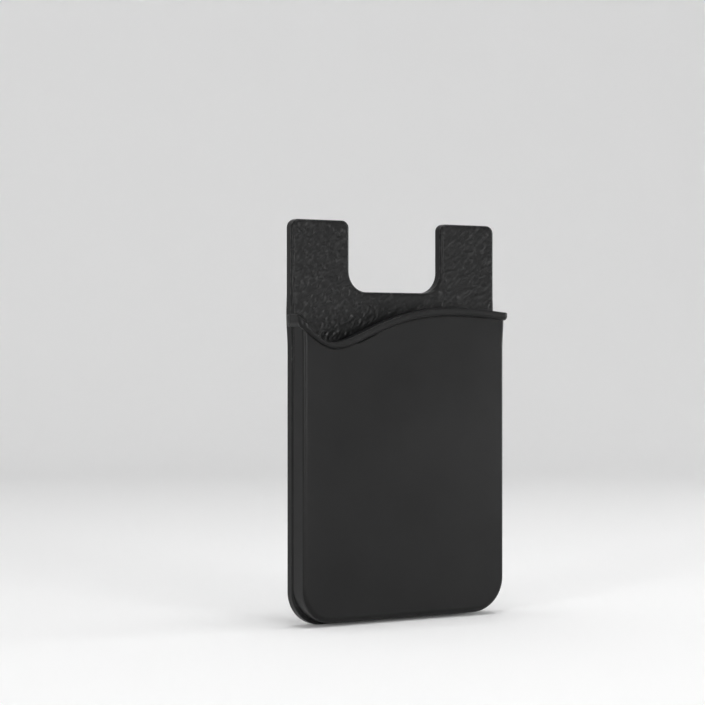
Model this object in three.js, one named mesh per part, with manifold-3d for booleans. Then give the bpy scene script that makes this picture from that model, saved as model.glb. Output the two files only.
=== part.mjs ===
// A stick on card holder, moulded in one piece of silicone: a back plate with two ears beside a
// thumb notch, and a pocket in front of it whose wavy mouth ends in a rolled lip that runs round
// both side walls. A double-sided adhesive pad sits in its back.
//
// Sizes are in millimetres. The pieces are drawn by x (to the right, seen from the front), z (up
// from the lower edge of the holder) and depth (from the plate's flat back towards the viewer).

import * as THREE from 'three';
import { mergeVertices } from 'three/addons/utils/BufferGeometryUtils.js';
import Module from 'manifold-3d';

const wasm = await Module();
wasm.setup();

// Standard size that the pocket is made for, and its play there
const cardWidth = 53.98;
const cardHeight = 85.6;
const cardCorner = 3.18;
const cardPlay = 0.3;

// Walls
const plateThickness = 3.0;
const pocketDepth = 3.2;
const frontWall = 1.6;
const sideWall = 1.16;
const bottomWall = 6.5;

// Step from the plate's edge in to the pocket's walls, at the sides and along the foot
const sideStep = 0.25;
const footStep = 0.7;

// Ears and the thumb notch between them
const earRise = 3.9;
const notchWidth = 26;
const notchDepth = 17;
const notchCorner = 5;
const earOuterCorner = 2.0;
const earInnerCorner = 1.8;

// Round edges
const plateCorner = 8.0;
const pocketCorner = 8.8;
const backRound = 0.4;
const plateRoundIn = 0.8;
const plateRoundDeep = 1.0;
const sideRound = 0.85;
const footRound = 1.6;

// The plate spreads a little at the pocket's mouth, and keeps part of that in its ears
const mouthFlare = 0.35;
const earFlare = 0.2;
const flareBelow = 8;
const flareAbove = 6;

// Upper edge of the mouth: heights above the lower edge, and places from the middle
const leftShoulder = 73.4;
const dipHeight = 66.95;
const dipFromSide = 7.15;
const crestHeight = 75.4;
const crestPlace = 13.8;
const rightShoulder = 74.3;

// Lip: how far it stands out, how far below the mouth's edge its foot runs, how far its foot's dip
// lies inward of the mouth's, how deep it is rooted, the radius of its upper edge, its depth where
// it ends on the sides and how much of it is left there
const lipProud = 0.9;
const lipAtLeft = 3.1;
const lipAtDip = 1.65;
const lipAtCrest = 2.05;
const lipAtRight = 2.0;
const lipLean = 1.1;
const lipRoot = 0.5;
const lipEdge = 0.25;
const lipBackEnd = 0.8;
const lipEndShare = 0.15;

// Round underside of the lip: where it starts and ends, as shares of the lip's height, and how far
// out from the wall it ends
const underFrom = 0.4;
const underTo = 0.95;
const underOut = 0.1;

// Rim on top of the pocket's walls. It is drawn on rays that run from a core inside the pocket
// through the wall: share 0 is at the core and 1 at the wall's outer face. The inner edge is eased
// by points that are [share, drop below the rim].
const coreInset = 0.8;
const rimRoot = [0.1, 2];
const rimEase = [[0.15, 0.36], [0.3, 0.12], [0.45, 0]];
const openingFrom = 0.06;
const openingTo = 2;
const openingDrop = 0.5;

// How far the wave's curves reach on either side of the left shoulder, the dip and the crest
const shoulderReach = 0.4;
const dipReachLeft = 4.3;
const dipReachRight = 7.8;
const crestReachLeft = 20.1;
const crestReachRight = 7.3;
const rightReach = 5;
const rightTilt = 0.35;

// Fine groove under the lip, across the front, from before the dip to past the crest
const grooveDepth = 0.25;
const grooveWidth = 0.3;
const grooveFade = 6;
const grooveBefore = 3;
const groovePast = 12;
const grooveReach = 0.4;
const grooveInLip = 0.1;
const grooveLift = 0.05;

// Adhesive pad and its recess
const padWidth = 46;
const padHeight = 66;
const padCorner = 6;
const padThickness = 0.8;
const recessDepth = 0.4;
const recessPlay = 0.3;
const padCentre = 40;

// Sizes that follow
const cavityHalf = cardWidth / 2 + cardPlay;
const pocketHalf = cavityHalf + sideWall;
const plateHalf = pocketHalf + sideStep;
const pocketFront = plateThickness + pocketDepth + frontWall;
const holderHeight = bottomWall + cardHeight + earRise;
const pocketRoot = plateThickness / 3;

// How far a cut runs on past the faces it opens
const clear = 1;
const clearAbove = holderHeight + clear;

// Fineness of the curves, the least corner radius and the least distance between stations
const leastRadius = 0.05;
const leastGap = 0.05;
const roundSteps = 6;
const edgeSteps = 3;
const waveSteps = 80;
const flareSteps = 12;
const cornerSteps = (radius) => Math.ceil(radius) + 4;
const flareHeights = Array.from({ length: flareSteps + 1 }, (_, k) => (
  THREE.MathUtils.mapLinear(k, 0, flareSteps, leftShoulder - flareBelow, leftShoulder + flareAbove)
));

const silicone = new THREE.MeshStandardMaterial({ color: 0x2b2b2b, roughness: 0.55, metalness: 0 });
const foam = new THREE.MeshStandardMaterial({ color: 0x3a3b3d, roughness: 0.8, metalness: 0 });

// A smooth rise from 0 to 1 as t goes from 0 to 1.
const smooth = (t) => THREE.MathUtils.smoothstep(t, 0, 1);

// A place given by x, height and depth, with the spread of the plate at the mouth.
function place(x, z, depth) {
  const rise = smooth(1 - (leftShoulder - z) / flareBelow);
  const fall = smooth((z - leftShoulder) / flareAbove);
  const flare = z < leftShoulder ? mouthFlare * rise : mouthFlare + (earFlare - mouthFlare) * fall;
  return new THREE.Vector3((x * (plateHalf + flare)) / plateHalf, -depth, z);
}

// A square-cornered outline with rounded corners. Each corner is [x, z, radius], anticlockwise as
// seen from the front. The sides move in by inX and the top and bottom by inZ, and the corner
// radii shrink or grow to suit. An upright side has points at the heights where the plate spreads.
// Returns [x, z] points, as many for any inset.
function roundedOutline(corners, inX = 0, inZ = 0) {
  const count = corners.length;
  const edges = corners.map(([x, z], i) => {
    const [nextX, nextZ] = corners[(i + 1) % count];
    return { dx: Math.sign(nextX - x), dz: Math.sign(nextZ - z) };
  });
  const points = [];
  corners.forEach(([x, z, radius], i) => {
    const before = edges[(i + count - 1) % count];
    const after = edges[i];
    const bend = before.dx * after.dz - before.dz * after.dx;
    const cornerX = x - (before.dz + after.dz) * inX;
    const cornerZ = z + (before.dx + after.dx) * inZ;
    const r = Math.max(radius - (bend * (inX + inZ)) / 2, leastRadius);
    const centreX = cornerX + (after.dx - before.dx) * r;
    const centreZ = cornerZ + (after.dz - before.dz) * r;
    const steps = cornerSteps(radius);
    for (let k = 0; k <= steps; k++) {
      const turn = ((Math.PI / 2) * k) / steps;
      const c = Math.cos(turn) * r;
      const s = Math.sin(turn) * r;
      points.push([centreX - after.dx * c + before.dx * s, centreZ - after.dz * c + before.dz * s]);
    }
    const [, nextZ, nextRadius] = corners[(i + 1) % count];
    const low = Math.min(z, nextZ) + 2 * Math.max(radius, nextRadius);
    const high = Math.max(z, nextZ) - 2 * Math.max(radius, nextRadius);
    const rungs = flareHeights.filter((height) => height > low && height < high);
    if (after.dz < 0) rungs.reverse();
    rungs.forEach((height) => points.push([cornerX, height]));
  });
  return points;
}

// A closed solid through a list of rings with equal numbers of points. Each ring is a list of
// Vector3, and the first and last are closed by flat caps. Returns a manifold solid.
function loft(rings) {
  const size = rings[0].length;
  const positions = rings.flat().flatMap((p) => [p.x, p.y, p.z]);
  const index = [];
  for (let r = 0; r + 1 < rings.length; r++) {
    for (let k = 0; k < size; k++) {
      const a = r * size + k;
      const b = r * size + ((k + 1) % size);
      index.push(a, b, b + size, a, b + size, a + size);
    }
  }
  capTriangles(rings[0]).forEach(([a, b, c]) => index.push(a, c, b));
  const last = (rings.length - 1) * size;
  capTriangles(rings.at(-1)).forEach(([a, b, c]) => index.push(last + a, last + b, last + c));
  const geometry = new THREE.BufferGeometry();
  geometry.setAttribute('position', new THREE.Float32BufferAttribute(positions, 3));
  geometry.setIndex(index);
  return toSolid(geometry);
}

// Triangles that close a flat ring, wound the way the ring runs.
function capTriangles(ring) {
  const normal = new THREE.Vector3();
  ring.forEach((p, i) => normal.add(p.clone().cross(ring[(i + 1) % ring.length])));
  normal.normalize();
  const across = Math.abs(normal.z) < 0.9 ? new THREE.Vector3(0, 0, 1) : new THREE.Vector3(1, 0, 0);
  const u = across.cross(normal).normalize();
  const v = normal.clone().cross(u);
  const flat = ring.map((p) => new THREE.Vector2(p.dot(u), p.dot(v)));
  return THREE.ShapeUtils.triangulateShape(flat, []);
}

function toSolid(geometry) {
  const merged = mergeVertices(geometry, 1e-5);
  const mesh = new wasm.Mesh({
    numProp: 3,
    vertProperties: new Float32Array(merged.attributes.position.array),
    triVerts: new Uint32Array(merged.index.array),
  });
  return new wasm.Manifold(mesh);
}

function toGeometry(solid) {
  const mesh = solid.getMesh();
  const geometry = new THREE.BufferGeometry();
  geometry.setAttribute('position', new THREE.BufferAttribute(mesh.vertProperties, 3));
  geometry.setIndex(new THREE.BufferAttribute(mesh.triVerts, 1));
  geometry.computeVertexNormals();
  return geometry;
}

// A solid between levels. Each level is [inset at the sides, inset along top and bottom, depth].
function stack(corners, levels) {
  return loft(levels.map(([inX, inZ, depth]) => (
    roundedOutline(corners, inX, inZ).map(([x, z]) => place(x, z, depth))
  )));
}

// A block with vertical faces and rounded corners, between two depths.
function block(half, low, high, radius, from, to) {
  const corners = [[-half, low, radius], [half, low, radius], [half, high, radius], [-half, high, radius]];
  return loft([from, to].map((depth) => (
    roundedOutline(corners).map(([x, z]) => new THREE.Vector3(x, -depth, z))
  )));
}

// The back plate: a rounded board with two ears and the thumb notch between them, its back edge
// eased and its front edge rounded over.
function backPlate() {
  const notch = notchWidth / 2;
  const notchFloor = holderHeight - notchDepth;
  const corners = [
    [-plateHalf, 0, plateCorner],
    [plateHalf, 0, plateCorner],
    [plateHalf, holderHeight, earOuterCorner],
    [notch, holderHeight, earInnerCorner],
    [notch, notchFloor, notchCorner],
    [-notch, notchFloor, notchCorner],
    [-notch, holderHeight, earInnerCorner],
    [-plateHalf, holderHeight, earOuterCorner],
  ];
  const levels = [];
  for (let k = 0; k <= roundSteps / 2; k++) {
    const turn = ((Math.PI / 2) * k) / (roundSteps / 2);
    const inset = backRound * (1 - Math.sin(turn));
    levels.push([inset, inset, backRound * (1 - Math.cos(turn))]);
  }
  for (let k = 0; k <= roundSteps; k++) {
    const turn = ((Math.PI / 2) * k) / roundSteps;
    const inset = plateRoundIn * (1 - Math.cos(turn));
    levels.push([inset, inset, plateThickness - plateRoundDeep * (1 - Math.sin(turn))]);
  }
  return stack(corners, levels);
}

// The pocket before it is hollowed: walls stepped in from the plate's edge, with a round front
// edge that is fuller along the foot than at the sides.
function pocketBlank() {
  const corners = [
    [-plateHalf, 0, pocketCorner],
    [plateHalf, 0, pocketCorner],
    [plateHalf, holderHeight, earOuterCorner],
    [-plateHalf, holderHeight, earOuterCorner],
  ];
  const inset = (radius, depth) => {
    const into = Math.max(depth - (pocketFront - radius), 0);
    return radius - Math.sqrt(radius ** 2 - into ** 2);
  };
  const levels = [[sideStep, footStep, pocketRoot]];
  const steps = roundSteps * 2;
  for (let k = 0; k <= steps; k++) {
    const depth = pocketFront - footRound * (1 - Math.sin(((Math.PI / 2) * k) / steps));
    levels.push([sideStep + inset(sideRound, depth), footStep + inset(footRound, depth), depth]);
  }
  return stack(corners, levels);
}

// The walk round the pocket's outer face, from the left side wall across the front to the right
// one. s is measured along the face from the middle of the front. Gives the place and the way out.
const frontHalf = pocketHalf - sideRound;
const cornerEnd = frontHalf + (sideRound * Math.PI) / 2;
const walkEnd = cornerEnd + pocketFront - sideRound;

function walk(s) {
  const side = Math.sign(s);
  const turn = THREE.MathUtils.clamp((Math.abs(s) - frontHalf) / sideRound, 0, Math.PI / 2);
  const beyond = Math.max(Math.abs(s) - cornerEnd, 0);
  return {
    x: side * (Math.min(Math.abs(s), frontHalf) + sideRound * Math.sin(turn)),
    depth: pocketFront - sideRound * (1 - Math.cos(turn)) - beyond,
    outX: side * Math.sin(turn),
    outDepth: Math.cos(turn),
  };
}

// A wavy line over the walk: level along the left side wall, round the corner and steeply down to
// a dip, up in a long slope to a crest, and gently down to the right side wall. Returns the
// height at s.
function waveLine(left, dipX, dipZ, crestZ, right) {
  const start = -cornerEnd - shoulderReach;
  const line = new THREE.Path();
  line.moveTo(-walkEnd, left);
  line.lineTo(start, left);
  line.bezierCurveTo(start + 2 * shoulderReach, left, dipX - dipReachLeft, dipZ, dipX, dipZ);
  line.bezierCurveTo(dipX + dipReachRight, dipZ, crestPlace - crestReachLeft, crestZ, crestPlace, crestZ);
  const approach = cornerEnd - rightReach;
  line.bezierCurveTo(crestPlace + crestReachRight, crestZ, approach, right + rightTilt, cornerEnd, right);
  line.lineTo(walkEnd, right);
  const points = line.getPoints(waveSteps);
  return (s) => {
    const next = Math.max(points.findIndex((p) => p.x >= s), 1);
    const [a, b] = [points[next - 1], points[next]];
    return THREE.MathUtils.mapLinear(THREE.MathUtils.clamp(s, a.x, b.x), a.x, b.x, a.y, b.y);
  };
}

const dipPlace = dipFromSide - pocketHalf;
const mouthEdge = waveLine(leftShoulder, dipPlace, dipHeight, crestHeight, rightShoulder);
const lipFoot = waveLine(
  leftShoulder - lipAtLeft,
  dipPlace + lipLean,
  dipHeight - lipAtDip,
  crestHeight - lipAtCrest,
  rightShoulder - lipAtRight,
);

// Places along the walk between two ends, closer together where the wave or the wall turns.
function stations(from, to) {
  const marks = [
    [-walkEnd, 4],
    [-cornerEnd - shoulderReach, 10],
    [-frontHalf, 16],
    [dipPlace, 32],
    [crestPlace, 12],
    [frontHalf, 8],
    [cornerEnd, 4],
    [walkEnd, 0],
  ];
  const places = marks.slice(0, -1).flatMap(([start, count], i) => (
    Array.from({ length: count }, (_, k) => start + ((marks[i + 1][0] - start) * k) / count)
  ));
  return [from, ...places.filter((s) => s > from + leastGap && s < to - leastGap), to];
}

// The core's half width and depth, and the part of the walk whose rays all leave from its corner.
const coreX = cavityHalf - coreInset;
const coreDepth = plateThickness + pocketDepth - coreInset;
const fanHalf = (cornerEnd + pocketFront - sideRound - coreDepth - coreX) / 2;
const fanMiddle = coreX + fanHalf;

// The height of the rim's inner edge at s. Over the core's corner it stands still, and close to
// the corner it makes up for that, so that the rim twists evenly from one wall to the next.
function innerEdge(s) {
  const reach = Math.abs(s);
  const apart = Math.max(Math.abs(reach - fanMiddle) - fanHalf, 0);
  const shift = fanHalf * smooth(1 - apart / (3 * fanHalf));
  const twin = reach < fanMiddle ? reach + shift : reach - shift;
  return mouthEdge(Math.sign(s) * (apart > 0 ? twin : fanMiddle));
}

// A point on the ray that runs at s from the core through the wall, at the rim's height or lower
// by drop.
function rayPoint(s, share, drop) {
  const { x, depth } = walk(s);
  const fromX = THREE.MathUtils.clamp(x, -coreX, coreX);
  const fromDepth = Math.min(depth, coreDepth);
  const z = THREE.MathUtils.lerp(innerEdge(s), mouthEdge(s), share) - drop;
  return place(
    THREE.MathUtils.lerp(fromX, x, share),
    z,
    THREE.MathUtils.lerp(fromDepth, depth, share),
  );
}

// Everything above the mouth's edge, down to where the rim takes over from the walls.
function mouthOpening() {
  return loft(stations(-walkEnd, walkEnd).map((s) => {
    const inner = rayPoint(s, openingFrom, openingDrop);
    const outer = rayPoint(s, openingTo, openingDrop);
    return [inner, inner.clone().setZ(clearAbove), outer.clone().setZ(clearAbove), outer];
  }));
}

// Points round a bar that follows the outer face at s. Each is [out from the wall, up].
function wallPoints(s, z, section) {
  const { x, depth, outX, outDepth } = walk(s);
  return section.map(([out, up]) => place(x + outX * out, z + up, depth + outDepth * out));
}

// The rim with its rolled lip: the whole wall's thickness on top, eased inside, round at the
// lip's upper edge and under it. The lip thins out towards its two ends on the side walls.
function rolledRim() {
  const end = walkEnd - lipBackEnd;
  return loft(stations(-end, end).map((s) => {
    const z = mouthEdge(s);
    const height = z - lipFoot(s);
    const full = Math.sqrt(Math.min((end - Math.abs(s)) / lipProud + lipEndShare, 1));
    const out = lipProud * full;
    const edge = lipEdge * full;
    const section = [[0, 0]];
    for (let k = 0; k <= edgeSteps; k++) {
      const turn = ((Math.PI / 2) * k) / edgeSteps;
      section.push([out - edge * (1 - Math.sin(turn)), -edge * (1 - Math.cos(turn))]);
    }
    for (let k = 0; k <= roundSteps; k++) {
      const turn = ((Math.PI / 2) * k) / roundSteps;
      section.push([
        THREE.MathUtils.lerp(underOut, out, Math.cos(turn)),
        -height * THREE.MathUtils.lerp(underFrom, underTo, Math.sin(turn)),
      ]);
    }
    section.push([-lipRoot, -height * underTo]);
    const inner = [rimRoot, ...rimEase].map(([share, drop]) => rayPoint(s, share, drop));
    return [...inner, ...wallPoints(s, z, section)];
  }));
}

// The fine groove that parts the lip from the front face. It fades out at both ends.
function lipGroove() {
  const from = dipPlace - grooveBefore;
  const to = crestPlace + groovePast;
  return loft(stations(from, to).map((s) => {
    const fade = smooth(Math.min(s - from, to - s) / grooveFade);
    const depth = THREE.MathUtils.lerp(-grooveLift, grooveDepth, fade);
    return wallPoints(s, lipFoot(s), [
      [-depth, grooveInLip],
      [grooveReach, grooveInLip],
      [grooveReach, -grooveReach - grooveWidth * fade],
      [-depth, 0],
    ]);
  }));
}

// The moulded body, with the pocket and the recess for the adhesive pad.
function cardSleeve() {
  const hollow = block(cavityHalf, bottomWall, clearAbove, cardCorner, 0, plateThickness + pocketDepth);
  const walls = pocketBlank().subtract(mouthOpening()).subtract(lipGroove());
  const pocket = walls.add(rolledRim()).subtract(hollow);
  const recess = block(
    padWidth / 2 + recessPlay,
    padCentre - padHeight / 2 - recessPlay,
    padCentre + padHeight / 2 + recessPlay,
    padCorner + recessPlay,
    -clear,
    recessDepth,
  );
  return backPlate().add(pocket).subtract(recess);
}

function adhesivePad() {
  const low = padCentre - padHeight / 2;
  return block(padWidth / 2, low, low + padHeight, padCorner, recessDepth - padThickness, recessDepth);
}

// The origin is the middle of the pad's outer face, which is what the holder sticks on with.
const holder = new THREE.Group();
holder.position.set(0, recessDepth - padThickness, -padCentre);

[
  ['card_sleeve', cardSleeve(), silicone],
  ['adhesive_pad', adhesivePad(), foam],
].forEach(([name, solid, material]) => {
  const mesh = new THREE.Mesh(toGeometry(solid), material);
  mesh.name = name;
  holder.add(mesh);
});

export default holder;
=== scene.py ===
"""A stick on card holder: a black silicone sleeve, and the adhesive pad on its back.

Shapes are worked out in millimetres, by x (to the right, seen from the front), depth (from the
plate's flat back towards the viewer) and z (up from the holder's lower edge). They become metres
in the frame when they are put into a mesh.
"""

import math

import bpy
import numpy as np
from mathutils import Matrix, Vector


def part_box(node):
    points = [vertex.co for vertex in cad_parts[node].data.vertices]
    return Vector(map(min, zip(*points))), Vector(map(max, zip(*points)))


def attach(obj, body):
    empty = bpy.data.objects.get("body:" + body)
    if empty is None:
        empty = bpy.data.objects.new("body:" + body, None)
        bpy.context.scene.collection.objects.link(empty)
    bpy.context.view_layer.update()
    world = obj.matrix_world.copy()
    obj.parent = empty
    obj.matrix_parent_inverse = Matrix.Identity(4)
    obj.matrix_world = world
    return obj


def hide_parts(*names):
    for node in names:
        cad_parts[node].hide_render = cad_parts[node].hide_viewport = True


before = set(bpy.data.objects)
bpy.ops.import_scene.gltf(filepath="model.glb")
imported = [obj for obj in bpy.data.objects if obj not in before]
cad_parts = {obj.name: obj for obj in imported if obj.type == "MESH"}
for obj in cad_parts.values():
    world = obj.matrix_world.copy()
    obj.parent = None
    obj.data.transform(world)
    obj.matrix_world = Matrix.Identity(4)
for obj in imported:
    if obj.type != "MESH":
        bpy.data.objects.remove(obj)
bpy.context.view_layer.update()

MM = 0.001
sleeve_low, sleeve_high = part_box("card_sleeve")
FOOT = sleeve_low.z
BACK = sleeve_high.y

# Standard size that the pocket is made for, and its play there
CARD_WIDTH = 53.98
CARD_CORNER = 3.18
CARD_PLAY = 0.3

# Walls, and the step from the plate's edge in to the pocket's walls
PLATE_THICKNESS = 3.0
POCKET_DEPTH = 3.2
FRONT_WALL = 1.6
SIDE_WALL = 1.16
BOTTOM_WALL = 6.5
SIDE_STEP = 0.25
FOOT_STEP = 0.7
POCKET_ROOT = 1.0

# Ears and the thumb notch between them
NOTCH_WIDTH = 26.0
NOTCH_DEPTH = 17.0
NOTCH_CORNER = 5.0
EAR_OUTER_CORNER = 2.0
EAR_INNER_CORNER = 1.8

# Round edges
PLATE_CORNER = 8.0
POCKET_CORNER = 8.8
BACK_ROUND = 0.4
PLATE_ROUND_IN = 0.8
PLATE_ROUND_DEEP = 1.0
SIDE_ROUND = 0.85
FOOT_ROUND = 1.6

# The plate spreads a little at the pocket's mouth, and keeps part of that in its ears
MOUTH_FLARE = 0.35
EAR_FLARE = 0.2
FLARE_BELOW = 8.0
FLARE_ABOVE = 6.0

# Upper edge of the mouth
LEFT_SHOULDER = 73.4
DIP_HEIGHT = 66.95
DIP_FROM_SIDE = 7.15
CREST_HEIGHT = 75.4
CREST_PLACE = 13.8
RIGHT_SHOULDER = 74.3

# How far the wave's curves reach on either side of the left shoulder, the dip and the crest
SHOULDER_REACH = 0.4
DIP_REACH_LEFT = 4.3
DIP_REACH_RIGHT = 7.8
CREST_REACH_LEFT = 20.1
CREST_REACH_RIGHT = 7.3
RIGHT_REACH = 5.0
RIGHT_TILT = 0.35

# Lip: how far it stands out, how far below the mouth's edge its foot runs, how far its foot's dip
# lies inward of the mouth's, its root, its upper edge as a length in and a share of its height
# down, its ends on the sides, and its under side, from one share of its height to another
LIP_PROUD = 0.9
LIP_AT_LEFT = 3.1
LIP_AT_DIP = 1.65
LIP_AT_CREST = 2.05
LIP_AT_RIGHT = 2.0
LIP_LEAN = 1.1
LIP_ROOT = 0.5
LIP_EDGE_IN = 0.25
LIP_EDGE_SHARE = 0.18
LIP_BACK_END = 0.8
LIP_END_SHARE = 0.15
UNDER_FROM = 0.4
UNDER_TO = 0.95
UNDER_OUT = 0.1

# Rim on top of the walls, on rays from a core inside the pocket (share 0) through the wall's outer
# face (share 1). The inner edge is eased by points that are (share, drop below the rim).
CORE_INSET = 0.8
RIM_INSIDE = [(0.1, 2.0), (0.15, 0.36), (0.22, 0.22), (0.3, 0.12), (0.37, 0.04), (0.45, 0.0)]
OPENING_FROM = 0.06
OPENING_TO = 2.0
OPENING_DROP = 0.5

# Fine groove under the lip, and the bevel of the front face below it
GROOVE_DEPTH = 0.22
GROOVE_WIDTH = 0.75
GROOVE_FADE = 6.0
GROOVE_BEFORE = 3.0
GROOVE_PAST = 12.0
GROOVE_REACH = 0.4
GROOVE_IN_LIP = 0.1
GROOVE_LIFT = 0.05

# Adhesive pad and its recess
PAD_WIDTH = 46.0
PAD_HEIGHT = 66.0
PAD_CORNER = 6.0
PAD_THICKNESS = 0.8
PAD_EASE = 0.04
PAD_WAIST = 0.08
RECESS_DEPTH = 0.4
RECESS_PLAY = 0.3
PAD_CENTRE = 40.0

# Sizes that follow
CAVITY_HALF = CARD_WIDTH / 2 + CARD_PLAY
POCKET_HALF = CAVITY_HALF + SIDE_WALL
PLATE_HALF = POCKET_HALF + SIDE_STEP
POCKET_FRONT = PLATE_THICKNESS + POCKET_DEPTH + FRONT_WALL
HOLDER_HEIGHT = (sleeve_high.z - sleeve_low.z) / MM
CLEAR = 1.0
CLEAR_ABOVE = HOLDER_HEIGHT + CLEAR
FRONT_HALF = POCKET_HALF - SIDE_ROUND
CORNER_END = FRONT_HALF + SIDE_ROUND * math.pi / 2
WALK_END = CORNER_END + POCKET_FRONT - SIDE_ROUND
DIP_PLACE = DIP_FROM_SIDE - POCKET_HALF
CORE_X = CAVITY_HALF - CORE_INSET
CORE_DEPTH = PLATE_THICKNESS + POCKET_DEPTH - CORE_INSET
FAN_HALF = (CORNER_END + POCKET_FRONT - SIDE_ROUND - CORE_DEPTH - CORE_X) / 2
FAN_MIDDLE = CORE_X + FAN_HALF
TWIST_EASE = 3 * FAN_HALF

# Fineness of the curves, with the stations counted from mark to mark along the walk, and the angle
# past which an edge is shaded sharp
LEAST_RADIUS = 0.05
CORNER_POINTS = 17
SIDE_POINTS = 48
ROUND_POINTS = 11
WAVE_POINTS = 120
STATION_COUNTS = [10, 20, 40, 90, 40, 24, 10]
SHARP_ANGLE = math.radians(30)
QUARTER = math.pi / 2


def smooth(t):
    """Rises from 0 to 1 as t goes from 0 to 1, level at both ends."""
    t = np.clip(t, 0, 1)
    return t * t * (3 - 2 * t)


def spread(points):
    """Scales x, where the plate widens: by the full flare at the shoulder's height, falling
    smoothly to none below it and to the ears' share above it."""
    z = points[..., 2]
    rise = MOUTH_FLARE * smooth(1 - (LEFT_SHOULDER - z) / FLARE_BELOW)
    fall = (EAR_FLARE - MOUTH_FLARE) * smooth((z - LEFT_SHOULDER) / FLARE_ABOVE)
    spread_points = points.copy()
    spread_points[..., 0] *= 1 + (rise + fall) / PLATE_HALF
    return spread_points


def outline(corners, in_x=0.0, in_z=0.0):
    """Points (x, z) round a shape with level and upright sides and quarter-round corners.

    Each corner is (x, z, radius), anticlockwise seen from the front. With b and a the directions
    of the sides before and after it, its arc is centre - a r cos t + b r sin t, for t from 0 to a
    quarter turn. Upright sides move in by in_x and level ones by in_z, and the radii follow.
    """
    corner = np.array(corners, float)
    place, radius = corner[:, :2], corner[:, 2]
    after = np.sign(np.roll(place, -1, axis=0) - place)
    before = np.roll(after, 1, axis=0)
    bend = before[:, 0] * after[:, 1] - before[:, 1] * after[:, 0]
    turn = before + after
    moved = place + np.stack([-turn[:, 1] * in_x, turn[:, 0] * in_z], axis=1)
    r = np.maximum(radius - bend * (in_x + in_z) / 2, LEAST_RADIUS)[:, None]
    centre = moved + (after - before) * r
    t = np.linspace(0, QUARTER, CORNER_POINTS)[:, None]
    arcs = centre[:, None] + r[:, None] * (before[:, None] * np.sin(t) - after[:, None] * np.cos(t))
    along = (np.arange(SIDE_POINTS)[:, None] + 1) / (SIDE_POINTS + 1)
    start, end = arcs[:, -1:], np.roll(arcs[:, :1], -1, axis=0)
    return np.concatenate([arcs, start + (end - start) * along], axis=1).reshape(-1, 2)


def stack(corners, levels):
    """Rings of one outline: each level is (inset of the uprights, inset of the rest, depth)."""
    rings = []
    for in_x, in_z, depth in levels:
        x, z = outline(corners, in_x, in_z).T
        rings.append(np.stack([x, np.full_like(x, depth), z], axis=1))
    return np.array(rings)


def block(half, low, high, radius, start, end):
    """Rings of an upright board with rounded corners, from one depth to another."""
    corners = [(-half, low, radius), (half, low, radius), (half, high, radius), (-half, high, radius)]
    return stack(corners, [(0, 0, start), (0, 0, end)])


def solid(name, rings):
    """A closed mesh through rings of equal length: quads between each ring and the next, and one
    flat face over the first ring and over the last. Rings are (x, depth, z) in millimetres."""
    count, size = rings.shape[:2]
    x, depth, z = rings.reshape(-1, 3).T * MM
    ring, step = np.meshgrid(np.arange(count - 1), np.arange(size), indexing="ij")
    a = ring * size + step
    b = ring * size + (step + 1) % size
    quads = np.stack([a, b, b + size, a + size], axis=-1).reshape(-1, 4)
    first = np.arange(size)
    ends = [first[::-1].tolist(), (first + (count - 1) * size).tolist()]
    mesh = bpy.data.meshes.new(name)
    mesh.from_pydata(np.stack([x, BACK - depth, FOOT + z], axis=1).tolist(), [], quads.tolist() + ends)
    mesh.validate()
    piece = bpy.data.objects.new(name, mesh)
    bpy.context.scene.collection.objects.link(piece)
    return piece


def combine(base, tool, operation):
    """Joins the tool to the base, or cuts it out of it, and removes the tool."""
    modifier = base.modifiers.new(operation.lower(), "BOOLEAN")
    modifier.object = tool
    modifier.operation = operation
    modifier.solver = "EXACT"
    evaluated = base.evaluated_get(bpy.context.evaluated_depsgraph_get())
    combined = bpy.data.meshes.new_from_object(evaluated)
    base.modifiers.clear()
    old, base.data = base.data, combined
    bpy.data.meshes.remove(old)
    bpy.data.meshes.remove(tool.data)
    return base


def back_plate():
    """A rounded board with two ears and the thumb notch: the outline moves in by a quarter circle
    at the back edge and by a quarter ellipse at the front edge."""
    notch = NOTCH_WIDTH / 2
    notch_floor = HOLDER_HEIGHT - NOTCH_DEPTH
    corners = [
        (-PLATE_HALF, 0, PLATE_CORNER),
        (PLATE_HALF, 0, PLATE_CORNER),
        (PLATE_HALF, HOLDER_HEIGHT, EAR_OUTER_CORNER),
        (notch, HOLDER_HEIGHT, EAR_INNER_CORNER),
        (notch, notch_floor, NOTCH_CORNER),
        (-notch, notch_floor, NOTCH_CORNER),
        (-notch, HOLDER_HEIGHT, EAR_INNER_CORNER),
        (-PLATE_HALF, HOLDER_HEIGHT, EAR_OUTER_CORNER),
    ]
    t = np.linspace(0, QUARTER, ROUND_POINTS)
    back = np.stack([BACK_ROUND * (1 - np.sin(t)), BACK_ROUND * (1 - np.cos(t))], axis=1)
    front_depth = PLATE_THICKNESS - PLATE_ROUND_DEEP * (1 - np.sin(t))
    front = np.stack([PLATE_ROUND_IN * (1 - np.cos(t)), front_depth], axis=1)
    levels = [(inset, inset, depth) for inset, depth in np.concatenate([back, front])]
    return solid("back_plate", spread(stack(corners, levels)))


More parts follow.
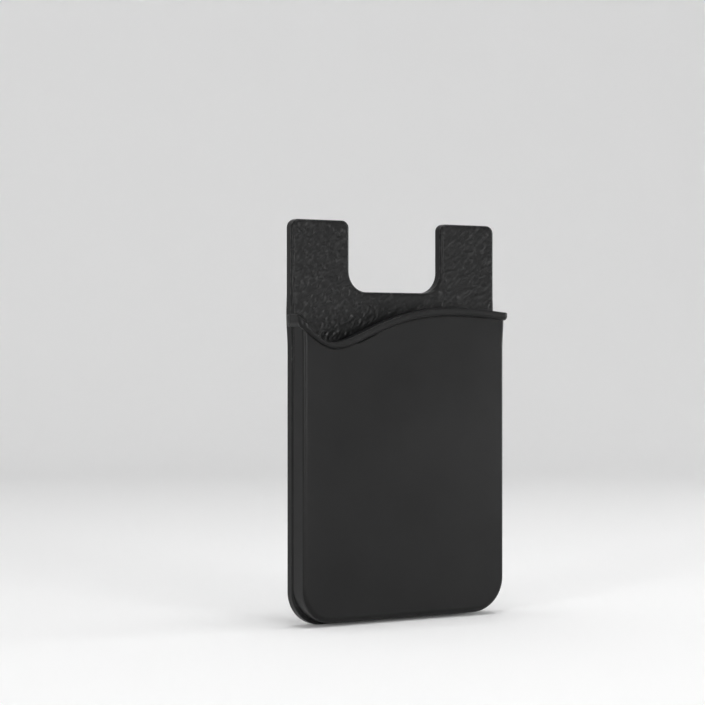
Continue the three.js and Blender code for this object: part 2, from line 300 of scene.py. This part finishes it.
def pocket_blank():
    """The pocket before it is hollowed: the outline moves in by a quarter circle at the front
    edge, with the smaller radius at the sides and the larger one along the foot."""
    corners = [
        (-PLATE_HALF, 0, POCKET_CORNER),
        (PLATE_HALF, 0, POCKET_CORNER),
        (PLATE_HALF, HOLDER_HEIGHT, EAR_OUTER_CORNER),
        (-PLATE_HALF, HOLDER_HEIGHT, EAR_OUTER_CORNER),
    ]
    t = np.linspace(0, QUARTER, 2 * ROUND_POINTS)
    depth = POCKET_FRONT - FOOT_ROUND * (1 - np.sin(t))

    def inset(radius):
        into = np.maximum(depth - (POCKET_FRONT - radius), 0)
        return radius - np.sqrt(radius**2 - into**2)

    rounds = np.stack([SIDE_STEP + inset(SIDE_ROUND), FOOT_STEP + inset(FOOT_ROUND), depth], axis=1)
    levels = [(SIDE_STEP, FOOT_STEP, POCKET_ROOT), *rounds]
    return solid("pocket_blank", spread(stack(corners, levels)))


def walk(s):
    """Place and outward direction on the pocket's outer face, s along it from the front's middle:
    straight across the front, a quarter circle round the edge, and straight back along the side."""
    reach, side = np.abs(s), np.sign(s)
    turn = np.clip((reach - FRONT_HALF) / SIDE_ROUND, 0, QUARTER)
    beyond = np.maximum(reach - CORNER_END, 0)
    x = side * (np.minimum(reach, FRONT_HALF) + SIDE_ROUND * np.sin(turn))
    depth = POCKET_FRONT - SIDE_ROUND * (1 - np.cos(turn)) - beyond
    return x, depth, side * np.sin(turn), np.cos(turn)


def wave(left, dip_x, dip_z, crest_z, right):
    """The height of a wavy line over the walk: level along the left wall, then three cubic
    Bezier curves through the dip and the crest, and level along the right wall."""
    start = -CORNER_END - SHOULDER_REACH
    approach = CORNER_END - RIGHT_REACH
    right_handle = (approach, right + RIGHT_TILT)
    dip, crest = (dip_x, dip_z), (CREST_PLACE, crest_z)
    knots = np.array([
        [(start, left), (start + 2 * SHOULDER_REACH, left), (dip_x - DIP_REACH_LEFT, dip_z), dip],
        [dip, (dip_x + DIP_REACH_RIGHT, dip_z), (CREST_PLACE - CREST_REACH_LEFT, crest_z), crest],
        [crest, (CREST_PLACE + CREST_REACH_RIGHT, crest_z), right_handle, (CORNER_END, right)],
    ])
    t = np.linspace(0, 1, WAVE_POINTS)[None, :, None]
    a, b, c, d = (knots[:, k, None] for k in range(4))
    line = a * (1 - t) ** 3 + 3 * b * t * (1 - t) ** 2 + 3 * c * t**2 * (1 - t) + d * t**3
    line = line.reshape(-1, 2)
    return lambda s: np.interp(s, line[:, 0], line[:, 1])


mouth_edge = wave(LEFT_SHOULDER, DIP_PLACE, DIP_HEIGHT, CREST_HEIGHT, RIGHT_SHOULDER)
lip_foot = wave(
    LEFT_SHOULDER - LIP_AT_LEFT,
    DIP_PLACE + LIP_LEAN,
    DIP_HEIGHT - LIP_AT_DIP,
    CREST_HEIGHT - LIP_AT_CREST,
    RIGHT_SHOULDER - LIP_AT_RIGHT,
)


def stations(start, end):
    """Places along the walk, closer together where the wave or the wall turns."""
    marks = [
        -WALK_END,
        -CORNER_END - SHOULDER_REACH,
        -FRONT_HALF,
        DIP_PLACE,
        CREST_PLACE,
        FRONT_HALF,
        CORNER_END,
        WALK_END,
    ]
    parts = zip(marks, marks[1:], STATION_COUNTS)
    places = np.concatenate([np.linspace(a, b, count, False) for a, b, count in parts])
    inside = places[(places > start + LEAST_RADIUS) & (places < end - LEAST_RADIUS)]
    return np.concatenate([[start], inside, [end]])


def inner_edge(s):
    """The height of the rim's inner edge. Over the core's corner it stands still, and close to
    the corner it makes up for that, so that the rim twists evenly from one wall to the next."""
    reach = np.abs(s)
    apart = np.maximum(np.abs(reach - FAN_MIDDLE) - FAN_HALF, 0)
    shift = FAN_HALF * smooth(1 - apart / TWIST_EASE)
    twin = np.where(reach < FAN_MIDDLE, reach + shift, reach - shift)
    return mouth_edge(np.sign(s) * np.where(apart > 0, twin, FAN_MIDDLE))


def ray_points(s, share, drop):
    """Points on the rays from the core through the wall: share along the ray, drop below it."""
    x, depth, _, _ = walk(s)
    from_x = np.clip(x, -CORE_X, CORE_X)
    from_depth = np.minimum(depth, CORE_DEPTH)
    low = inner_edge(s)
    z = low + (mouth_edge(s) - low) * share - drop
    return np.stack([from_x + (x - from_x) * share, from_depth + (depth - from_depth) * share, z], axis=1)


def wall_points(s, out, z):
    """Points at a distance out from the pocket's outer face, at height z."""
    x, depth, out_x, out_depth = walk(s)
    return np.stack([x + out_x * out, depth + out_depth * out, z + 0 * s], axis=1)


def mouth_opening():
    """Everything above the mouth's edge, down to where the rim takes over from the walls."""
    s = stations(-WALK_END, WALK_END)
    inner = spread(ray_points(s, OPENING_FROM, OPENING_DROP))
    outer = spread(ray_points(s, OPENING_TO, OPENING_DROP))
    inner_top, outer_top = inner.copy(), outer.copy()
    inner_top[:, 2] = outer_top[:, 2] = CLEAR_ABOVE
    return solid("mouth_opening", np.stack([inner, inner_top, outer_top, outer], axis=1))


def rolled_rim():
    """The rim with its lip, a profile carried along the walk: level over the wall, a quarter
    ellipse at the lip's upper edge, and another under it, back to the wall. The lip thins out
    towards its two ends on the side walls."""
    end = WALK_END - LIP_BACK_END
    s = stations(-end, end)
    z = mouth_edge(s)
    height = z - lip_foot(s)
    full = np.sqrt(np.minimum((end - np.abs(s)) / LIP_PROUD + LIP_END_SHARE, 1))
    out = LIP_PROUD * full
    edge = LIP_EDGE_IN * full
    fall = LIP_EDGE_SHARE * height
    inside = [ray_points(s, share, drop) for share, drop in RIM_INSIDE]
    top = [
        wall_points(s, out - edge * (1 - np.sin(t)), z - fall * (1 - np.cos(t)))
        for t in np.linspace(0, QUARTER, ROUND_POINTS)
    ]
    under = [
        wall_points(
            s,
            UNDER_OUT + (out - UNDER_OUT) * np.cos(t),
            z - height * (UNDER_FROM + (UNDER_TO - UNDER_FROM) * np.sin(t)),
        )
        for t in np.linspace(0, QUARTER, ROUND_POINTS)
    ]
    root = [wall_points(s, -LIP_ROOT, z - height * UNDER_TO)]
    rings = np.stack([*inside, wall_points(s, 0, z), *top, *under, *root], axis=1)
    return solid("rolled_rim", spread(rings))


def lip_groove():
    """The fine groove that parts the lip from the front face, a slanting section carried along
    the lip's foot. It fades out at both ends."""
    start, end = DIP_PLACE - GROOVE_BEFORE, CREST_PLACE + GROOVE_PAST
    s = stations(start, end)
    fade = smooth(np.minimum(s - start, end - s) / GROOVE_FADE)
    depth = GROOVE_DEPTH * fade - GROOVE_LIFT * (1 - fade)
    foot = lip_foot(s)
    rings = [
        wall_points(s, -depth, foot + GROOVE_IN_LIP),
        wall_points(s, GROOVE_REACH, foot + GROOVE_IN_LIP),
        wall_points(s, GROOVE_REACH, foot - GROOVE_REACH - GROOVE_WIDTH * fade),
        wall_points(s, -depth, foot),
    ]
    return solid("lip_groove", spread(np.stack(rings, axis=1)))


def finish_mesh(piece):
    """Shades the piece smooth but for its sharp edges, with flat faces kept flat."""
    mesh = piece.data
    mesh.shade_smooth()
    mesh.set_sharp_from_angle(angle=SHARP_ANGLE)
    modifier = piece.modifiers.new("even_shading", "WEIGHTED_NORMAL")
    modifier.keep_sharp = True


def card_sleeve():
    """The moulded body: plate and hollowed pocket, with the recess for the pad."""
    body = combine(pocket_blank(), mouth_opening(), "DIFFERENCE")
    body = combine(body, lip_groove(), "DIFFERENCE")
    body = combine(body, rolled_rim(), "UNION")
    cavity_front = PLATE_THICKNESS + POCKET_DEPTH
    hollow = block(CAVITY_HALF, BOTTOM_WALL, CLEAR_ABOVE, CARD_CORNER, 0, cavity_front)
    body = combine(body, solid("hollow", hollow), "DIFFERENCE")
    body = combine(body, back_plate(), "UNION")
    half_height = PAD_HEIGHT / 2 + RECESS_PLAY
    recess = block(
        PAD_WIDTH / 2 + RECESS_PLAY,
        PAD_CENTRE - half_height,
        PAD_CENTRE + half_height,
        PAD_CORNER + RECESS_PLAY,
        -CLEAR,
        RECESS_DEPTH,
    )
    body = combine(body, solid("recess", recess), "DIFFERENCE")
    body.name = body.data.name = "silicone_sleeve"
    finish_mesh(body)
    return body


def adhesive_pad():
    """The die-cut foam pad: its outline moves in by a shallow half wave over the thickness, which
    is the waist that the cut leaves, and by a little more at both faces."""
    half, low, high = PAD_WIDTH / 2, PAD_CENTRE - PAD_HEIGHT / 2, PAD_CENTRE + PAD_HEIGHT / 2
    places = [(-half, low), (half, low), (half, high), (-half, high)]
    corners = [(*place, PAD_CORNER) for place in places]
    t = np.linspace(0, 1, ROUND_POINTS)
    inset = PAD_WAIST * np.sin(math.pi * t) ** 2
    inset[[0, -1]] = PAD_EASE
    depth = RECESS_DEPTH - PAD_THICKNESS * (1 - t)
    pad = solid("foam_pad", stack(corners, np.stack([inset, inset, depth], axis=1)))
    finish_mesh(pad)
    return pad


sleeve = card_sleeve()
pad = adhesive_pad()
for piece, name, slot in ((sleeve, "card_sleeve", "silicone"), (pad, "adhesive_pad", "adhesive")):
    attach(piece, "root")
    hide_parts(name)


# Silicone, in mm: the grain's wrinkles, drawn out slantwise, with pebbles between them, and the
# relief of both together; the blasted texture, and the patches where it has been handled
WRINKLE_SIZE = 1.2
PEBBLE_SIZE = 0.9
PEBBLE_SHARE = 0.8
GRAIN_SLANT = math.radians(50)
GRAIN_STRETCH = 1.5
GRAIN_RELIEF = 0.2
BLAST_SIZE = 0.45
BLAST_RELIEF = 0.02
PATCH_SIZE = 14.0

# How far, in mm, the grain is full behind the plate's front face and before it, where it has
# faded out before it, and how far below the dip it is full and has faded out
GRAIN_FULL_BEHIND = 0.5
GRAIN_FULL_BEFORE = 0.1
GRAIN_GONE_BEFORE = 0.3
GRAIN_FULL_BELOW = 4.0
GRAIN_GONE_BELOW = 9.0

# Ranges of a noise that are spread over a whole change of tone; for the grain that change is its painted
# highlight
GRAIN_LOW, GRAIN_HIGH = 0.5, 1.5
PATCH_LOW, PATCH_HIGH = 0.3, 0.7

# Foam pad, in mm: the pores of its edge, the ripple of its face, the relief of both, and how far
# behind the face the edge's look ends and the face's begins
PORE_SIZE = 0.2
RIPPLE_SIZE = 2.5
FOAM_RELIEF = 0.06
EDGE_ENDS = 0.03
FACE_BEGINS = 0.01


def linear(hex_colour):
    """Turns an sRGB hex colour to linear RGBA."""
    channels = np.array([int(hex_colour[k:k + 2], 16) for k in (1, 3, 5)]) / 255
    rgb = np.where(channels <= 0.04045, channels / 12.92, ((channels + 0.055) / 1.055) ** 2.4)
    return (*rgb.tolist(), 1.0)


def node(material, kind, links=(), **settings):
    """Adds a node. A setting goes to the input of that name (with _ for a space) or else to the
    node's own property. A link is (output socket or constant, input name or number)."""
    made = material.node_tree.nodes.new(kind)
    for name, value in settings.items():
        socket = made.inputs.get(name.replace("_", " "))
        if socket is not None:
            socket.default_value = value
        else:
            setattr(made, name, value)
    for source, name in links:
        if isinstance(source, bpy.types.NodeSocket):
            material.node_tree.links.new(source, made.inputs[name])
        else:
            made.inputs[name].default_value = source
    return made


def new_material(name):
    """An empty material, with its Object coordinates."""
    material = bpy.data.materials.new(name)
    material.use_nodes = True
    material.node_tree.nodes.clear()
    coordinates = node(material, "ShaderNodeTexCoord").outputs["Object"]
    return material, coordinates


def cover(piece, material):
    """Gives the piece the material, and no other."""
    piece.data.materials.clear()
    piece.data.materials.append(material)


def silicone():
    """Silicone rubber moulded in a blasted steel tool: near black and satin, so that it shows soft
    wide highlights and no sharp reflections. The ears have a grain like leather from the tool, which
    breaks the sheen up, with a painted highlight on its raised parts that lightens the ears as a whole.
    The rest has only the blasted texture, and faint patches where it has been handled."""
    material, place = new_material("moulded_silicone_rubber")
    axes = node(material, "ShaderNodeSeparateXYZ", [(place, "Vector")]).outputs

    # The grain covers the plate's front and the start of its round edge, above the mouth. Each
    # band is an axis, the place where the grain has faded out and the place where it is full.
    plate_front = BACK - PLATE_THICKNESS * MM
    dip = FOOT + DIP_HEIGHT * MM
    bands = [
        ("Y", plate_front + PLATE_ROUND_DEEP * MM, plate_front + GRAIN_FULL_BEHIND * MM),
        ("Y", plate_front - GRAIN_GONE_BEFORE * MM, plate_front - GRAIN_FULL_BEFORE * MM),
        ("Z", dip - GRAIN_GONE_BELOW * MM, dip - GRAIN_FULL_BELOW * MM),
    ]
    grained = 1.0
    for axis, gone, full in bands:
        fade = node(
            material,
            "ShaderNodeMapRange",
            [(axes[axis], "Value")],
            interpolation_type="SMOOTHSTEP",
            From_Min=gone,
            From_Max=full,
        )
        both = [(fade.outputs["Result"], 0), (grained, 1)]
        grained = node(material, "ShaderNodeMath", both, operation="MULTIPLY").outputs["Value"]

    slant = node(
        material,
        "ShaderNodeMapping",
        [(place, "Vector")],
        vector_type="TEXTURE",
        Rotation=(0, GRAIN_SLANT, 0),
        Scale=(1, 1, GRAIN_STRETCH),
    ).outputs["Vector"]
    wrinkles = node(
        material,
        "ShaderNodeTexNoise",
        [(slant, "Vector")],
        noise_type="RIDGED_MULTIFRACTAL",
        Scale=1 / (WRINKLE_SIZE * MM),
        Detail=3.0,
        Roughness=0.55,
        Distortion=0.5,
    ).outputs["Fac"]
    pebbles = node(
        material,
        "ShaderNodeTexVoronoi",
        [(slant, "Vector")],
        feature="SMOOTH_F1",
        Scale=1 / (PEBBLE_SIZE * MM),
        Randomness=1.0,
    ).outputs["Distance"]
    grain = node(
        material,
        "ShaderNodeMath",
        [(pebbles, 0), (PEBBLE_SHARE, 1), (wrinkles, 2)],
        operation="MULTIPLY_ADD",
    ).outputs["Value"]
    relief = node(material, "ShaderNodeMath", [(grain, 0), (grained, 1)], operation="MULTIPLY")
    leather = node(
        material,
        "ShaderNodeBump",
        [(relief.outputs["Value"], "Height")],
        Strength=1.0,
        Distance=GRAIN_RELIEF * MM,
    )

    # The real blasted texture is about 0.1 mm, too fine to show here, so it is drawn coarser
    blast = node(
        material, "ShaderNodeTexNoise", [(place, "Vector")], Scale=1 / (BLAST_SIZE * MM), Detail=2.0
    )
    satin = node(
        material,
        "ShaderNodeBump",
        [(blast.outputs["Fac"], "Height"), (leather.outputs["Normal"], "Normal")],
        Strength=0.25,
        Distance=BLAST_RELIEF * MM,
    )

    patches = node(
        material, "ShaderNodeTexNoise", [(place, "Vector")], Scale=1 / (PATCH_SIZE * MM), Detail=2.0
    ).outputs["Fac"]
    gloss = node(
        material,
        "ShaderNodeMapRange",
        [(patches, "Value")],
        From_Min=PATCH_LOW,
        From_Max=PATCH_HIGH,
        To_Min=0.3,
        To_Max=0.35,
    )
    handled = node(
        material, "ShaderNodeMapRange", [(patches, "Value")], From_Min=PATCH_LOW, From_Max=PATCH_HIGH
    )
    # The grain's raised parts are painted lighter: a painted highlight, which also makes the ears lighter
    # than the rest
    ridge_highlight = node(
        material, "ShaderNodeMapRange", [(grain, "Value")], From_Min=GRAIN_LOW, From_Max=GRAIN_HIGH
    )
    plain = node(
        material,
        "ShaderNodeMix",
        [(handled.outputs["Result"], "Factor"), (linear("#171717"), 6), (linear("#191919"), 7)],
        data_type="RGBA",
    )
    # Near black in the grain's furrows, up to the painted highlight on its raised parts
    grain_painted_highlight = node(
        material,
        "ShaderNodeMix",
        [(ridge_highlight.outputs["Result"], "Factor"), (linear("#181818"), 6), (linear("#323232"), 7)],
        data_type="RGBA",
    )
    colour = node(
        material,
        "ShaderNodeMix",
        [(grained, "Factor"), (plain.outputs[2], 6), (grain_painted_highlight.outputs[2], 7)],
        data_type="RGBA",
    )
    surface = node(
        material,
        "ShaderNodeBsdfPrincipled",
        [
            (colour.outputs[2], "Base Color"),
            (gloss.outputs["Result"], "Roughness"),
            (satin.outputs["Normal"], "Normal"),
        ],
        IOR=1.43,
        Specular_IOR_Level=0.16,
    )
    node(material, "ShaderNodeOutputMaterial", [(surface.outputs["BSDF"], "Surface")])
    return material


def adhesive_foam():
    """Die-cut closed-cell foam tape: dark grey and matt on its cut edge, where the pores are open,
    and smooth, darker and a little shiny on its tacky face."""
    material, place = new_material("acrylic_foam_tape")
    depth = node(material, "ShaderNodeSeparateXYZ", [(place, "Vector")]).outputs["Y"]
    tacky_face = BACK + (PAD_THICKNESS - RECESS_DEPTH) * MM
    face = node(
        material,
        "ShaderNodeMapRange",
        [(depth, "Value")],
        interpolation_type="SMOOTHSTEP",
        From_Min=tacky_face - EDGE_ENDS * MM,
        From_Max=tacky_face - FACE_BEGINS * MM,
    ).outputs["Result"]
    pores = node(material, "ShaderNodeTexVoronoi", [(place, "Vector")], Scale=1 / (PORE_SIZE * MM))
    ripple = node(
        material, "ShaderNodeTexNoise", [(place, "Vector")], Scale=1 / (RIPPLE_SIZE * MM), Detail=1.0
    )
    relief = node(
        material,
        "ShaderNodeMix",
        [(face, "Factor"), (pores.outputs["Distance"], 2), (ripple.outputs["Fac"], 3)],
        data_type="FLOAT",
    )
    bump = node(
        material,
        "ShaderNodeBump",
        [(relief.outputs[0], "Height")],
        Strength=0.5,
        Distance=FOAM_RELIEF * MM,
    )
    colour = node(
        material,
        "ShaderNodeMix",
        [(face, "Factor"), (linear("#3c3d3f"), 6), (linear("#2e2f31"), 7)],
        data_type="RGBA",
    )
    gloss = node(material, "ShaderNodeMapRange", [(face, "Value")], To_Min=0.75, To_Max=0.3)
    surface = node(
        material,
        "ShaderNodeBsdfPrincipled",
        [
            (colour.outputs[2], "Base Color"),
            (gloss.outputs["Result"], "Roughness"),
            (bump.outputs["Normal"], "Normal"),
        ],
        IOR=1.47,
    )
    node(material, "ShaderNodeOutputMaterial", [(surface.outputs["BSDF"], "Surface")])
    return material


cover(sleeve, silicone())
cover(pad, adhesive_foam())

# Camera: level, at the photograph's angle
CAMERA_PLACE = (-0.2714, -0.4289, 0.0245)
CAMERA_TURN = math.radians(-31.33)
LENS = 106.48
SENSOR = 36.0
NEAREST = 0.01

camera = bpy.data.objects.new("camera", bpy.data.cameras.new("camera"))
camera.location = CAMERA_PLACE
camera.rotation_euler = (QUARTER, 0, CAMERA_TURN)
camera.data.lens = LENS
camera.data.sensor_width = SENSOR
camera.data.clip_start = NEAREST
bpy.context.scene.collection.objects.link(camera)
bpy.context.scene.camera = camera

# Studio, in metres and watts: the sweep's reach, bend, height and flat rings, the place that the
# lights point at, and each light's name, place, size and power
SWEEP_REACH = 1.2
SWEEP_BEND = 0.6
SWEEP_RISE = 1.6
SWEEP_STEPS = 96
SWEEP_FLAT = [0.02, 0.3]
AIM = np.array((0.0, 0.0, 0.008))
LIGHTS = [
    ("overhead", (0.0, -0.05, 0.8), (0.4, 0.4), 2.9),
    ("front", (0.07, -0.79, 0.07), (0.2, 0.2), 3.0),
    ("left_strip", (-0.66, -0.33, 0.05), (0.1, 0.3), 2.6),
    ("right_strip", (0.68, -0.18, 0.07), (0.2, 0.2), 1.8),
    ("low_right", (0.22, -0.2, -0.008), (0.06, 0.06), 0.07),
]
ROOM_LIGHT = 0.3


def studio_sweep():
    """A round pale floor that the holder's foot stands on, which sweeps up into a wall all round:
    a level line, a quarter circle and an upright line, carried round the vertical axis."""
    t = np.linspace(0, QUARTER, CORNER_POINTS)
    bend_radius = SWEEP_REACH - SWEEP_BEND + SWEEP_BEND * np.sin(t)
    radius = np.concatenate([SWEEP_FLAT, bend_radius, [SWEEP_REACH]])
    height = np.concatenate([[0, 0], SWEEP_BEND * (1 - np.cos(t)), [SWEEP_RISE]])
    turn = np.linspace(0, 2 * math.pi, SWEEP_STEPS, False)[:, None]
    points = np.stack([radius * np.cos(turn), radius * np.sin(turn), FOOT + height + 0 * turn], axis=-1)
    rings = len(radius)
    step, ring = np.meshgrid(np.arange(SWEEP_STEPS), np.arange(rings - 1), indexing="ij")
    a = step * rings + ring
    b = (step + 1) % SWEEP_STEPS * rings + ring
    quads = np.stack([a, a + 1, b + 1, b], axis=-1).reshape(-1, 4)
    middle = (np.arange(SWEEP_STEPS) * rings).tolist()
    mesh = bpy.data.meshes.new("sweep")
    mesh.from_pydata(points.reshape(-1, 3).tolist(), [], quads.tolist() + [middle])
    mesh.shade_smooth()
    sweep = bpy.data.objects.new("sweep", mesh)
    bpy.context.scene.collection.objects.link(sweep)

    # Matt paper, so that the floor shows the holder's soft shadow and no reflection of it
    material, _ = new_material("pale_paper")
    surface = node(material, "ShaderNodeBsdfDiffuse", Color=linear("#f7f7f7"))
    node(material, "ShaderNodeOutputMaterial", [(surface.outputs["BSDF"], "Surface")])
    cover(sweep, material)


def soft_light(name, place, size, power):
    """A rectangular area light that points at the holder. The camera doesn't see it."""
    data = bpy.data.lights.new(name, "AREA")
    data.shape = "RECTANGLE"
    data.size, data.size_y = size
    data.energy = power
    light = bpy.data.objects.new(name, data)
    light.location = place
    way = AIM - np.array(place)
    tilt = math.atan2(math.hypot(way[0], way[1]), -way[2])
    light.rotation_euler = (tilt, 0, math.atan2(way[1], way[0]) - QUARTER)
    light.visible_camera = False
    bpy.context.scene.collection.objects.link(light)


studio_sweep()
for name, place, size, power in LIGHTS:
    soft_light(name, place, size, power)

world = bpy.data.worlds.new("studio")
world.use_nodes = True
background = world.node_tree.nodes["Background"]
background.inputs["Color"].default_value = linear("#ffffff")
background.inputs["Strength"].default_value = ROOM_LIGHT
bpy.context.scene.world = world
bpy.context.scene.view_settings.view_transform = "Standard"
